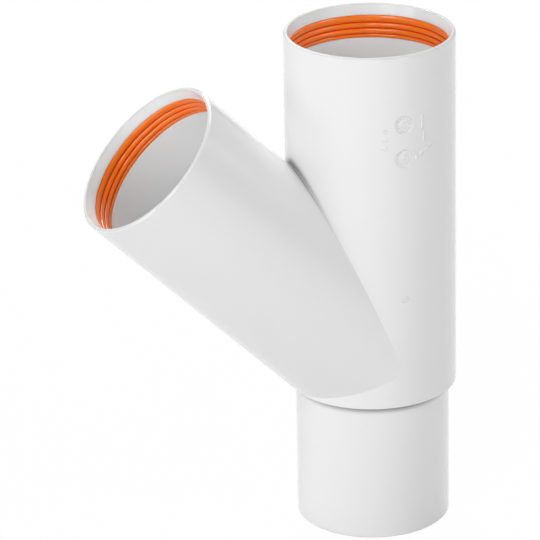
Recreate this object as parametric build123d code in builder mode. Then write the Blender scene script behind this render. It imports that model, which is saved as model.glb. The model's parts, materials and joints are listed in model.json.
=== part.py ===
"""Lateral wye fitting: a straight run with a side branch, two push-fit sockets and one spigot.

All sizes are in millimetres. The origin is on the run's axis, at the shoulder above the spigot.
+Z runs along the run to the main socket, and the branch leans towards -X.
"""

import os
from math import cos, radians, sin, tan

from build123d import *

os.makedirs("parts", exist_ok=True)

# The pipe that the sockets take. The spigot has the same outside and bore.
pipe_diameter = 50.0
pipe_wall = 1.8

# The branch, and the web that is left between the two sockets in the crotch
branch_angle = 45.0
crotch_web = 1.8
crotch_radius = 0.25

# The shoulder above the spigot, and how far above its broken edge the branch's underside meets the run
shoulder_chamfer = 0.2
heel_land = 0.05

# The spigot
spigot_length = 47.0
spigot_chamfer = 0.4

# The sockets: clearance round the pipe, depth to the pipe stop, wall behind the seal, and the rim
socket_clearance = 0.3
socket_depth = 44.5
groove_wall = 1.0
rim_chamfer = 0.4
lead_in_width = 0.85
lead_in_depth = 3.0

# The seals: bands with lips that slope in and turn back under, between a longer lead and a plain tail
seal_inset = 3.5
seal_back = 0.65
seal_lead = 1.0
seal_tail = 1.0
tail_recess = 0.1
lip_count = 3
lip_height = 0.62
lip_slope = 1.35
lip_undercut = 0.6
lip_clearance = 0.13

# The mould's marks on the run's side: two round flat-bottomed dial pockets, and the dimple at the gate
dial_radius = 3.0
dial_depth = 0.4
dial_inset = 22.7
dial_pitch = 11.3
gate_radius = 1.2
gate_depth = 0.35
gate_height = 26.0

# Radii, from the inside out
pipe_radius = pipe_diameter / 2
waterway_radius = pipe_radius - pipe_wall
pilot_radius = pipe_radius + socket_clearance
lip_radius = pipe_radius + lip_clearance
lip_root_radius = lip_radius + lip_height
tail_radius = pilot_radius + tail_recess
groove_radius = lip_root_radius + seal_back
body_radius = groove_radius + groove_wall

# Distances along either axis from where the two axes cross
lean = radians(branch_angle)
stop_distance = pilot_radius / tan(lean / 2) + crotch_web / 2 / sin(lean / 2)
mouth_distance = stop_distance + socket_depth
lip_pitch = lip_slope + lip_undercut
seal_top = mouth_distance - seal_inset
seal_bottom = seal_top - seal_lead - lip_count * lip_pitch - seal_tail

# The axes cross at the height that brings the branch's underside down to the shoulder
crossing_height = body_radius * tan(lean / 2) + shoulder_chamfer + heel_land
crossing = Vector(0, 0, crossing_height)

# Section planes of the two barrels: x is the distance from the axis, y runs along it to the mouth
run_plane = Plane(origin=crossing, x_dir=(1, 0, 0), z_dir=(0, -1, 0))
branch_plane = Plane(origin=crossing, x_dir=(cos(lean), 0, sin(lean)), z_dir=(0, -1, 0))
run_axis = Axis(crossing, run_plane.y_dir)
branch_axis = Axis(crossing, branch_plane.y_dir)

# The plane that touches the run's side at -Y, for the marks: y runs up from where the axes cross
side_plane = run_plane.offset(body_radius)


def barrel_section(plane, start):
    """Half section of a barrel, solid to its axis, from start to the broken edge of its mouth."""
    with BuildSketch(plane) as section:
        with BuildLine():
            Polyline(
                (0, start),
                (body_radius, start),
                (body_radius, mouth_distance),
                (0, mouth_distance),
                close=True,
            )
        make_face()
        rim = section.vertices().group_by(Axis.X)[-1].sort_by(Axis.Y)[-1]
        chamfer(rim, length=rim_chamfer)
    return section.sketch


def hollow_section(plane):
    """Half section of a hollow from the crossing to its mouth, with pipe stop, seal groove and lead-in."""
    with BuildSketch(plane) as section:
        with BuildLine():
            Polyline(
                (0, 0),
                (waterway_radius, 0),
                (waterway_radius, stop_distance),
                (pilot_radius, stop_distance),
                (pilot_radius, seal_bottom),
                (groove_radius, seal_bottom),
                (groove_radius, seal_top),
                (pilot_radius, seal_top),
                (pilot_radius, mouth_distance - lead_in_depth),
                (pilot_radius + lead_in_width, mouth_distance),
                (0, mouth_distance),
                close=True,
            )
        make_face()
    return section.sketch


def seal_section(plane):
    """Section of a seal, which fills its groove and has its lips on the inside."""
    points = [(groove_radius, seal_bottom), (groove_radius, seal_top), (lip_root_radius, seal_top)]
    for lip in range(lip_count):
        crest = seal_top - seal_lead - lip * lip_pitch - lip_slope
        points.append((lip_radius, crest))
        points.append((lip_root_radius, crest - lip_undercut))
    points.append((tail_radius, seal_bottom))
    with BuildSketch(plane) as section:
        with BuildLine():
            Polyline(*points, close=True)
        make_face()
    return section.sketch


with BuildPart() as wye_body:
    # The two barrels, cut level at the shoulder
    revolve(barrel_section(run_plane, -crossing_height), axis=run_axis)
    revolve(barrel_section(branch_plane, 0), axis=branch_axis)
    split(bisect_by=Plane.XY, keep=Keep.TOP)

    # The two barrels meet in ellipses: those above the crossing are the sharp crotch
    seams = wye_body.edges().filter_by(GeomType.ELLIPSE)
    crotch = seams.filter_by(lambda edge: edge.center().Z > crossing_height)
    fillet(crotch, radius=crotch_radius)
    shoulder = wye_body.faces().sort_by(Axis.Z)[0]
    chamfer(shoulder.edges(), length=shoulder_chamfer)

    # The spigot
    with BuildSketch(Plane.XY.offset(-spigot_length)):
        Circle(pipe_radius)
    extrude(amount=spigot_length)
    spigot_end = wye_body.faces().sort_by(Axis.Z)[0]
    chamfer(spigot_end.edges(), length=spigot_chamfer)

    # The hollow of both barrels, and the waterway on down through the spigot
    revolve(hollow_section(run_plane), axis=run_axis, mode=Mode.SUBTRACT)
    revolve(hollow_section(branch_plane), axis=branch_axis, mode=Mode.SUBTRACT)
    with BuildSketch(Plane.XY.offset(-spigot_length)):
        Circle(waterway_radius)
    extrude(amount=spigot_length + crossing_height, mode=Mode.SUBTRACT)

    # The mould's marks, each cut from its flat bottom out to the plane that touches the run's side
    with BuildSketch(side_plane.offset(-dial_depth)):
        with Locations((0, mouth_distance - dial_inset), (0, mouth_distance - dial_inset - dial_pitch)):
            Circle(dial_radius)
    extrude(amount=dial_depth, mode=Mode.SUBTRACT)
    with BuildSketch(side_plane.offset(-gate_depth)):
        with Locations((0, gate_height)):
            Circle(gate_radius)
    extrude(amount=gate_depth, mode=Mode.SUBTRACT)

wye_body.part.label = "wye_body"
export_step(wye_body.part, "parts/wye_body.step")


with BuildPart() as main_socket_seal:
    revolve(seal_section(run_plane), axis=run_axis)

main_socket_seal.part.label = "main_socket_seal"
export_step(main_socket_seal.part, "parts/main_socket_seal.step")


with BuildPart() as branch_socket_seal:
    revolve(seal_section(branch_plane), axis=branch_axis)

branch_socket_seal.part.label = "branch_socket_seal"
export_step(branch_socket_seal.part, "parts/branch_socket_seal.step")
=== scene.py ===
import json
import math
import random

import bmesh
import bpy
from mathutils import Matrix, Vector


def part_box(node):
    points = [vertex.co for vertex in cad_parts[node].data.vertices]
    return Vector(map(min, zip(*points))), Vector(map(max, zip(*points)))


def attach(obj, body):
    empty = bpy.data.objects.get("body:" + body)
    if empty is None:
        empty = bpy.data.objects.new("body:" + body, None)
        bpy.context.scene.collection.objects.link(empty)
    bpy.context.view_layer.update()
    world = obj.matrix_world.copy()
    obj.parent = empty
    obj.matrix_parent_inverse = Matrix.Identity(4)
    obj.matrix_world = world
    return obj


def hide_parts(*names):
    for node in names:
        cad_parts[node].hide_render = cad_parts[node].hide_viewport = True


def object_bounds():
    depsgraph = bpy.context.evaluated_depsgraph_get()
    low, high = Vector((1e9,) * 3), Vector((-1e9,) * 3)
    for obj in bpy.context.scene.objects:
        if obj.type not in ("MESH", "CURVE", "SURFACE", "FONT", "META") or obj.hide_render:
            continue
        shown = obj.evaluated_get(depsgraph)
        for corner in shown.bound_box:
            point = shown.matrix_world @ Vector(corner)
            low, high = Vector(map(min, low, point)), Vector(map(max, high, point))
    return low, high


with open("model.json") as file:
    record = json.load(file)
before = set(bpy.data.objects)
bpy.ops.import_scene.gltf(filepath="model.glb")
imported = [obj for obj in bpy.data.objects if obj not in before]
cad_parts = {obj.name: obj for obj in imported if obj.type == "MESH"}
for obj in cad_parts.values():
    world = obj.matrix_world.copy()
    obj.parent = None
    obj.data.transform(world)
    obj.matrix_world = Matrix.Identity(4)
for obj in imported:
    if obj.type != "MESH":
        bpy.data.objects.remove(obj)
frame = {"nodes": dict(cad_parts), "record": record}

# Everything is in metres, in the part's own frame: the run stands along +Z and the branch leans to -X
MM = 0.001
cad_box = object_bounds()
mounts = {mount["name"]: mount for mount in frame["record"]["mounts"]}
socket_names = ("main_socket", "branch_socket")
main_stop, branch_stop = (Vector(mounts[name]["pos_m"]) for name in socket_names)
body_low, body_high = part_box("wye_body")
run_radius = body_high.x

# Both sockets have the same lengths along their axes, from the pipe stop up to the mouth and down to the crossing
mouth_from_stop = body_high.z - main_stop.z
crossing_from_stop = branch_stop.z + branch_stop.x - main_stop.z

# The camera, as fitted to the photograph: it turns about the aim point, and rolls about its own view
camera_aim = Vector((-34.16, 2.92, 42.03)) * MM
camera_azimuth = -21.43
camera_elevation = 22.47
camera_roll = 1.07
camera_distance = 1.3453
camera_lens = 278.8


def direction(azimuth, elevation):
    """The way from the object to a camera or lamp, from degrees: azimuth 0 is in front, at -Y, and -90 at -X."""
    turn, lift = math.radians(azimuth), math.radians(elevation)
    return Vector((math.sin(turn) * math.cos(lift), -math.cos(turn) * math.cos(lift), math.sin(lift)))


def make_camera():
    """The camera at the photograph's viewing angle."""
    back = direction(camera_azimuth, camera_elevation)
    level = Vector((0, 0, 1)).cross(back).normalized()
    roll = Matrix.Rotation(math.radians(-camera_roll), 3, "Z")
    turn = Matrix((level, back.cross(level), back)).transposed() @ roll
    data = bpy.data.cameras.new("camera")
    data.lens = camera_lens
    camera = bpy.data.objects.new("camera", data)
    camera.matrix_world = Matrix.Translation(camera_aim + back * camera_distance) @ turn.to_4x4()
    bpy.context.scene.collection.objects.link(camera)
    bpy.context.scene.camera = camera


def new_object(name, build, material):
    """An object in the scene, from a bmesh that has been built."""
    mesh = bpy.data.meshes.new(name)
    build.to_mesh(mesh)
    build.free()
    mesh.materials.append(material)
    made = bpy.data.objects.new(name, mesh)
    bpy.context.scene.collection.objects.link(made)
    return made


class Nodes:
    """A short way to write a shader's nodes and the links between them."""

    def __init__(self, owner):
        owner.use_nodes = True
        self.tree = owner.node_tree
        self.tree.nodes.clear()

    def add(self, kind, **inputs):
        """A node of a kind: words that name a property set it, and the others set or feed a socket."""
        node = self.tree.nodes.new("ShaderNode" + kind)
        for name, value in inputs.items():
            if hasattr(node, name):
                setattr(node, name, value)
            else:
                self.feed(node, name.replace("_", " "), value)
        return node

    def feed(self, node, socket, value):
        """Sets a socket by its name or number, or links another node's output to it."""
        socket = node.inputs[socket]
        if isinstance(value, bpy.types.NodeSocket):
            self.tree.links.new(value, socket)
        elif isinstance(value, bpy.types.Node):
            self.tree.links.new(value.outputs[0], socket)
        else:
            socket.default_value = value

    def operate(self, kind, operation, values):
        """A Math or VectorMath node with its values in order."""
        node = self.add(kind, operation=operation)
        for number, value in enumerate(values):
            self.feed(node, number, value)
        return node

    def math(self, operation, *values):
        """The result of an operation on values."""
        return self.operate("Math", operation, values).outputs["Value"]

    def vector(self, operation, *values, output="Vector"):
        """The result of an operation on vectors."""
        return self.operate("VectorMath", operation, values).outputs[output]

    def noise(self, place, scale, detail):
        """A value that wanders round 0.5, with features of about 1/scale metres."""
        return self.add("TexNoise", Vector=place, Scale=scale, Detail=detail).outputs["Fac"]

    def between(self, value, low, high, start=0.0, end=1.0):
        """Brings a value that runs from start to end to run from low to high."""
        scaled = self.add("MapRange", Value=value, From_Min=start, From_Max=end, To_Min=low, To_Max=high)
        return scaled.outputs["Result"]

    def blend(self, share, first, second):
        """A colour that goes from the first to the second as the share goes from 0 to 1."""
        return self.add("Mix", data_type="RGBA", Factor=share, A=first, B=second).outputs["Result"]

    def openness(self, reach):
        """1 where nothing else of the same piece is within reach, falling to 0 deep in a crease."""
        return self.add("AmbientOcclusion", samples=8, only_local=True, Distance=reach).outputs["AO"]


def grey(level):
    """A neutral colour."""
    return (level, level, level, 1)


# Where light and shade are painted into the white plastic: in the hollows of the sockets, on the rims and in the
# narrow creases. The painted shade in a crease is darkest at the first openness and clear at the second, and the
# crotch's lies on the branch's side of crotch_edge.
hollow_radius = 26.6 * MM
rim_height = 0.3 * MM
crease_reach = 3 * MM
crotch_edge = -6 * MM
crotch_openness = (0.04, 0.68)
shoulder_openness = (0.66, 0.97)
valley_reach = 0.8 * MM
valley_openness = (0.4, 0.9)


def in_socket(nodes, place, mount_name):
    """How far a place lies along a socket's axis from its pipe stop, and how far away from the axis."""
    mount = mounts[mount_name]
    axis = Vector(mount["axis"]).normalized()
    offset = nodes.vector("SUBTRACT", place, Vector(mount["pos_m"]))
    along = nodes.vector("DOT_PRODUCT", offset, axis, output="Value")
    foot = nodes.vector("MULTIPLY", axis, along)
    away = nodes.vector("LENGTH", nodes.vector("SUBTRACT", offset, foot), output="Value")
    return along, away


def in_hollow(nodes, along, away):
    """1 inside a socket's barrel and on down to where the two axes cross, and 0 elsewhere."""
    beside = nodes.math("LESS_THAN", away, hollow_radius)
    return nodes.math("MULTIPLY", beside, nodes.math("GREATER_THAN", along, crossing_from_stop))


def on_rim(nodes, along, away):
    """1 on the end face round a socket's mouth, and 0 elsewhere."""
    return nodes.math("GREATER_THAN", along, mouth_from_stop - rim_height)


def in_either(nodes, sockets, test):
    """1 where a test holds for one of the two sockets, and 0 elsewhere."""
    return nodes.math("MAXIMUM", *(test(nodes, along, away) for along, away in sockets))


def painted_crease_shade(nodes, place):
    """1 deep in the crease of the crotch and close under the shoulder, where shade is painted, falling to 0 beside
    them.
    """
    openness = nodes.openness(crease_reach)
    spot = nodes.add("SeparateXYZ", Vector=place)
    at_crotch = nodes.math("LESS_THAN", spot.outputs["X"], crotch_edge)
    at_shoulder = nodes.math("LESS_THAN", spot.outputs["Z"], 0.0)
    crotch = nodes.math("MULTIPLY", at_crotch, nodes.between(openness, 1, 0, *crotch_openness))
    shoulder = nodes.math("MULTIPLY", at_shoulder, nodes.between(openness, 1, 0, *shoulder_openness))
    return nodes.math("MAXIMUM", crotch, shoulder)


def white_plastic():
    """Moulded white plastic: half gloss, with soft edges, faint waves, a fine skin, slightly uneven gloss and
    painted light and shade.
    """
    material = bpy.data.materials.new("white_plastic")
    nodes = Nodes(material)
    place = nodes.add("TexCoord").outputs["Object"]
    sockets = [in_socket(nodes, place, name) for name in socket_names]
    waves = nodes.noise(place, 45, 1.0)
    skin = nodes.noise(place, 1600, 3.0)
    blotch = nodes.noise(place, 25, 3.0)
    # Outside, then painted colour: a cooler tone in the hollows, painted shade on the rims and painted shade in the
    # creases
    colour = nodes.blend(blotch, grey(0.817), grey(0.823))
    # Painted light: a cooler tone in the hollows cancels the orange light that the seals bounce onto the white walls
    colour = nodes.blend(in_either(nodes, sockets, in_hollow), colour, (0.81, 0.866, 0.878, 1))
    # Painted shade: the rims' end faces are darker, standing in for the up-facing rims catching less light
    colour = nodes.blend(in_either(nodes, sockets, on_rim), colour, grey(0.74))
    # Painted shade: the crotch's crease and the spigot just under the shoulder darken towards grey 0.16
    colour = nodes.blend(painted_crease_shade(nodes, place), colour, grey(0.16))
    edges = nodes.add("Bevel", samples=6, Radius=0.2 * MM)
    waviness = nodes.add("Bump", Strength=0.1, Distance=0.2 * MM, Height=waves, Normal=edges)
    texture = nodes.add("Bump", Strength=0.06, Distance=0.02 * MM, Height=skin, Normal=waviness)
    roughness = nodes.between(blotch, 0.15, 0.20)
    shader = nodes.add("BsdfPrincipled", Base_Color=colour, Roughness=roughness, IOR=1.44, Normal=texture)
    nodes.add("OutputMaterial", Surface=shader)
    return material


def orange_rubber():
    """Soft orange rubber with a satin face, and painted shade, a deeper red, in the valleys between the ribs."""
    material = bpy.data.materials.new("orange_rubber")
    nodes = Nodes(material)
    place = nodes.add("TexCoord").outputs["Object"]
    skin = nodes.noise(place, 900, 3.0)
    blotch = nodes.noise(place, 90, 2.0)
    valley_shade = nodes.between(nodes.openness(valley_reach), 1, 0, *valley_openness)
    colour = nodes.blend(blotch, (0.99, 0.195, 0.012, 1), (0.99, 0.225, 0.018, 1))
    # Painted shade: the valleys between the ribs darken to a deep red
    colour = nodes.blend(valley_shade, colour, (0.8, 0.03, 0.001, 1))
    texture = nodes.add("Bump", Strength=0.1, Distance=0.03 * MM, Height=skin)
    roughness = nodes.between(blotch, 0.13, 0.18)
    shader = nodes.add("BsdfPrincipled", Base_Color=colour, Roughness=roughness, IOR=1.5, Normal=texture)
    nodes.add("OutputMaterial", Surface=shader)
    return material


# The seals: the CAD's lead, lips and tail as full round ribs, with creases between them that go a little deeper
seal_low, seal_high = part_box("main_socket_seal")
seal_outer = seal_high.x
seal_width = seal_high.z - seal_low.z
seal_from_stop = seal_high.z - main_stop.z
seal_back = 0.65 * MM
seal_lead = 1.0 * MM
lip_count = 3
lip_slope = 1.35 * MM
lip_undercut = 0.6 * MM
lip_height = 0.62 * MM
tail_height = 0.35 * MM
crease_depth = 0.2 * MM
crease_radius = seal_outer - seal_back + crease_depth
rib_steps = 12
ring_turns = 256


def rib(start, end, height):
    """The points of a round rib's profile, a half ellipse between two heights along the axis."""
    middle, half = (start + end) / 2, (start - end) / 2
    angles = [math.pi * step / rib_steps for step in range(rib_steps)]
    reach = crease_depth + height
    return [Vector((crease_radius - reach * math.sin(angle), middle + half * math.cos(angle))) for angle in angles]


def seal_profile():
    """The closed profile of a seal as points of (radius, height), with its mouth end at height 0."""
    first = -seal_lead - lip_slope - lip_undercut / 2
    creases = [0.0] + [first - lip * (lip_slope + lip_undercut) for lip in range(lip_count)]
    profile = [Vector((seal_outer, -seal_width)), Vector((seal_outer, 0))]
    for start, end in zip(creases, creases[1:]):
        profile += rib(start, end, lip_height)
    return profile + rib(creases[-1], -seal_width, tail_height)


def make_ring(name, profile, centre, axis, material):
    """A closed profile of (radius, height) points, turned about an axis."""
    build = bmesh.new()
    out = axis.orthogonal().normalized()
    across = axis.cross(out)
    rings = []
    for turn in range(ring_turns):
        angle = 2 * math.pi * turn / ring_turns
        spoke = out * math.cos(angle) + across * math.sin(angle)
        rings.append([build.verts.new(centre + spoke * point.x + axis * point.y) for point in profile])
    for turn in range(ring_turns):
        here, there = rings[turn], rings[(turn + 1) % ring_turns]
        for index in range(len(profile)):
            following = (index + 1) % len(profile)
            build.faces.new((here[index], there[index], there[following], here[following]))
    bmesh.ops.recalc_face_normals(build, faces=build.faces)
    for face in build.faces:
        face.smooth = True
    return new_object(name, build, material)


def make_seal(name, mount_name, node, material):
    """A smooth ring that stands for one of the CAD's seals."""
    mount = mounts[mount_name]
    axis = Vector(mount["axis"]).normalized()
    top = Vector(mount["pos_m"]) + axis * seal_from_stop
    ring = make_ring(name, seal_profile(), top, axis, material)
    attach(ring, "root")
    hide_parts(node)


# The moulded marks on the run's side at -Y: two dials in their pockets, the pips and bars beside them, and the gate.
# A relief is how far a mark is raised and how wide its sloped sides are.
sunk = 0.05 * MM
dial_depth = 0.4 * MM
dial_heights = (96.83 * MM, 85.53 * MM)
dial_turns = (-35, 160)
disc_radius = 1.6 * MM
disc_relief = (0.16 * MM, 0.1 * MM)
arrow_size = (2.3 * MM, 0.34 * MM, 0.8 * MM)
arrow_relief = (0.16 * MM, 0.06 * MM)
tick_count = 12
tick_radius = 2.3 * MM
tick_size = (0.28 * MM, 0.6 * MM)
tick_relief = (0.14 * MM, 0.06 * MM)

pip_radius = 0.75 * MM
column_across = -6.3 * MM
column_heights = (95.0 * MM, 92.3 * MM, 89.6 * MM)
column_relief = (0.24 * MM, 0.2 * MM)
long_bar = (6.5 * MM, 96.8 * MM, 0.9 * MM, 4.8 * MM)
short_bar = (7.2 * MM, 91.6 * MM, 0.6 * MM, 3.2 * MM)
bar_relief = (0.22 * MM, 0.15 * MM)
row_start, row_end = Vector((4.5, 85.2)) * MM, Vector((10.0, 88.4)) * MM
row_count = 4
row_relief = (0.16 * MM, 0.25 * MM)

# The stub fills a share of the gate's dimple that wanders, and so do its points
gate_height = 37.6 * MM
gate_depth = 0.35 * MM
gate_radius = 1.3 * MM
gate_edge_sunk = 0.045 * MM
gate_rings, gate_spokes = 4, 12
gate_fill = (0.7, 0.98)
gate_middle_fill = 0.85
gate_wander = 0.3


def on_run(point):
    """Lays a point of (across, up, out) round the run's side."""
    angle = point.x / run_radius
    reach = run_radius + point.z
    return Vector((reach * math.sin(angle), -reach * math.cos(angle), point.y))


def in_pocket(point, depth=dial_depth):
    """Lays a point of (across, up, out) on the flat bottom of a pocket."""
    return Vector((point.x, depth - run_radius - point.z, point.y))


def disc(across, up, radius, count=24):
    """A round outline."""
    angles = [2 * math.pi * step / count for step in range(count)]
    return [Vector((across + radius * math.cos(angle), up + radius * math.sin(angle))) for angle in angles]


def bar(across, up, width, height):
    """An upright bar's outline, with its middle at the point given."""
    x, y = width / 2, height / 2
    return [Vector((across + i, up + j)) for i, j in ((-x, -y), (x, -y), (x, y), (-x, y))]


def arrow(across, up, length, width, head):
    """The outline of an arrow that points up, with its middle at the point given."""
    x, y, neck, barb = width / 2, length / 2, length / 2 - head, head * 0.8
    corners = ((-x, -y), (x, -y), (x, neck), (barb, neck), (0, y), (-barb, neck), (-x, neck))
    return [Vector((across + i, up + j)) for i, j in corners]


def turned(outline, centre, degrees):
    """An outline turned about a centre, anticlockwise as seen from outside."""
    turn = Matrix.Rotation(math.radians(degrees), 2)
    return [centre + turn @ (point - centre) for point in outline]


def add_piece(name, build, material):
    """A piece of white plastic that rides on the body, from a bmesh that has been built."""
    piece = new_object(name, build, material)
    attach(piece, "root")


def make_relief(name, outlines, relief, lay, material, base=0.0):
    """Outlines raised from a base with sloped sides, and laid on a surface, as one piece."""
    raised, slope = relief
    build = bmesh.new()
    for outline in outlines:
        foot = build.faces.new([build.verts.new((point.x, point.y, base - sunk)) for point in outline])
        grown = bmesh.ops.extrude_face_region(build, geom=[foot])["geom"]
        top = next(item for item in grown if isinstance(item, bmesh.types.BMFace))
        bmesh.ops.translate(build, vec=(0, 0, sunk), verts=top.verts)
        bmesh.ops.inset_individual(build, faces=[top], thickness=slope, depth=raised, use_even_offset=True)
    bmesh.ops.recalc_face_normals(build, faces=build.faces)
    for vert in build.verts:
        vert.co = lay(vert.co)
    add_piece(name, build, material)


def make_dial(name, height, degrees, material):
    """A dial in its pocket: a ring of ticks round a low disc that has an arrow on it."""
    centre = Vector((0, height))
    plate = disc(0, height, disc_radius, 40)
    make_relief(name + "_disc", [plate], disc_relief, in_pocket, material)
    pointer = turned(arrow(0, height, *arrow_size), centre, degrees)
    make_relief(name + "_arrow", [pointer], arrow_relief, in_pocket, material, base=disc_relief[0])
    tick = bar(0, height + tick_radius, *tick_size)
    ticks = [turned(tick, centre, 360 * step / tick_count) for step in range(tick_count)]
    make_relief(name + "_ticks", ticks, tick_relief, in_pocket, material)


def make_marks(material):
    """The raised marks beside the dials: a column of pips, two upright bars, and a slanting row of pips."""
    column = [disc(column_across, height, pip_radius) for height in column_heights]
    make_relief("column_pips", column, column_relief, on_run, material)
    make_relief("upright_bars", [bar(*long_bar), bar(*short_bar)], bar_relief, on_run, material)
    places = [row_start.lerp(row_end, step / (row_count - 1)) for step in range(row_count)]
    row = [disc(place.x, place.y, pip_radius) for place in places]
    make_relief("slanting_pips", row, row_relief, on_run, material)


def make_gate(material):
    """The rough stub that is left at the gate: it fills the dimple, and its edge lies just under the run's face."""
    chance = random.Random(11)
    build = bmesh.new()
    rings = []
    for ring in range(1, gate_rings + 1):
        points = []
        for spoke in range(gate_spokes):
            angle = 2 * math.pi * (spoke + chance.uniform(0, gate_wander)) / gate_spokes
            if ring == gate_rings:
                reach, out = gate_radius, gate_depth - gate_edge_sunk
            else:
                reach = gate_radius * (ring - chance.uniform(0, gate_wander)) / gate_rings
                out = gate_depth * chance.uniform(*gate_fill)
            points.append((reach * math.cos(angle), gate_height + reach * math.sin(angle), out))
        rings.append([build.verts.new(point) for point in points])
    middle = build.verts.new((0, gate_height, gate_depth * gate_middle_fill))
    foot = build.verts.new((0, gate_height, -sunk))
    for spoke in range(gate_spokes):
        following = (spoke + 1) % gate_spokes
        build.faces.new((middle, rings[0][spoke], rings[0][following]))
        build.faces.new((foot, rings[-1][following], rings[-1][spoke]))
        for inner, outer in zip(rings, rings[1:]):
            build.faces.new((inner[spoke], outer[spoke], outer[following], inner[following]))
    for vert in build.verts:
        vert.co = in_pocket(vert.co, gate_depth)
    bmesh.ops.recalc_face_normals(build, faces=build.faces)
    add_piece("gate_stub", build, material)


floor_radius = 12.0
floor_white = 0.98
world_level = 0.05


def camera_or_gloss(nodes):
    """1 for rays from the camera, or off or through a glossy or clear surface, which see the backdrop as white."""
    path = nodes.add("LightPath")
    seen = nodes.math("MAXIMUM", path.outputs["Is Camera Ray"], path.outputs["Is Glossy Ray"])
    return nodes.math("MAXIMUM", seen, path.outputs["Is Transmission Ray"])


def floor_material():
    """Plain pale grey to the light, and nearly white to the camera."""
    material = bpy.data.materials.new("floor")
    nodes = Nodes(material)
    matt = nodes.add("BsdfDiffuse", Color=grey(0.58))
    glow = nodes.add("Emission", Color=grey(1.0), Strength=1.0)
    mixed = nodes.add("MixShader", Fac=nodes.math("MULTIPLY", camera_or_gloss(nodes), floor_white))
    nodes.feed(mixed, 1, matt)
    nodes.feed(mixed, 2, glow)
    nodes.add("OutputMaterial", Surface=mixed)
    return material


def make_floor():
    """A wide floor under the object, which keeps its shadow."""
    build = bmesh.new()
    bmesh.ops.create_circle(build, cap_ends=True, segments=96, radius=floor_radius)
    floor = new_object("floor", build, floor_material())
    floor.location = (0, 0, body_low.z)


def make_world():
    """An even dark grey surround."""
    world = bpy.data.worlds.new("world")
    bpy.context.scene.world = world
    nodes = Nodes(world)
    around = nodes.add("Background", Color=grey(1.0), Strength=world_level)
    nodes.add("OutputWorld", Surface=around)


# The softboxes, all square and at one distance: name, azimuth, elevation, side and power
lamp_aim = (cad_box[0] + cad_box[1]) / 2
lamp_distance = 1.6
lamps = (
    ("key", -28, 46, 0.30, 3.7),
    ("left_high", -72, 52, 0.60, 2.6),
    ("front_left", -50, 28, 0.60, 7.2),
    ("front_left_low", -50, 4, 0.60, 4.6),
    ("left_low", -78, 3, 0.60, 6.6),
    ("left_back", -140, 8, 0.60, 0.8),
    ("right_front_low", 20, 5, 0.60, 0.8),
    ("right_front", 44, 28, 0.60, 5.8),
    ("right", 72, 26, 0.60, 2.0),
    ("right_back", 102, 8, 0.60, 4.2),
    ("back", 168, 38, 0.60, 19.0),
    ("back_high", 165, 64, 0.60, 5.0),
)


def make_lamp(name, azimuth, elevation, side, power):
    """A softbox that looks at the middle of the object."""
    data = bpy.data.lights.new(name, "AREA")
    data.shape = "SQUARE"
    data.size = side
    data.energy = power
    back = direction(azimuth, elevation)
    lamp = bpy.data.objects.new(name, data)
    lamp.location = lamp_aim + back * lamp_distance
    lamp.rotation_mode = "QUATERNION"
    lamp.rotation_quaternion = back.to_track_quat("Z", "Y")
    bpy.context.scene.collection.objects.link(lamp)


make_camera()
make_floor()
make_world()
for lamp in lamps:
    make_lamp(*lamp)

plastic = white_plastic()
rubber = orange_rubber()
body = frame["nodes"]["wye_body"]
body.data.materials.clear()
body.data.materials.append(plastic)
make_seal("main_seal_ring", "main_socket", "main_socket_seal", rubber)
make_seal("branch_seal_ring", "branch_socket", "branch_socket_seal", rubber)
for number, (height, degrees) in enumerate(zip(dial_heights, dial_turns), 1):
    make_dial(f"dial_{number}", height, degrees, plastic)
make_marks(plastic)
make_gate(plastic)

bpy.context.scene.view_settings.view_transform = "Standard"
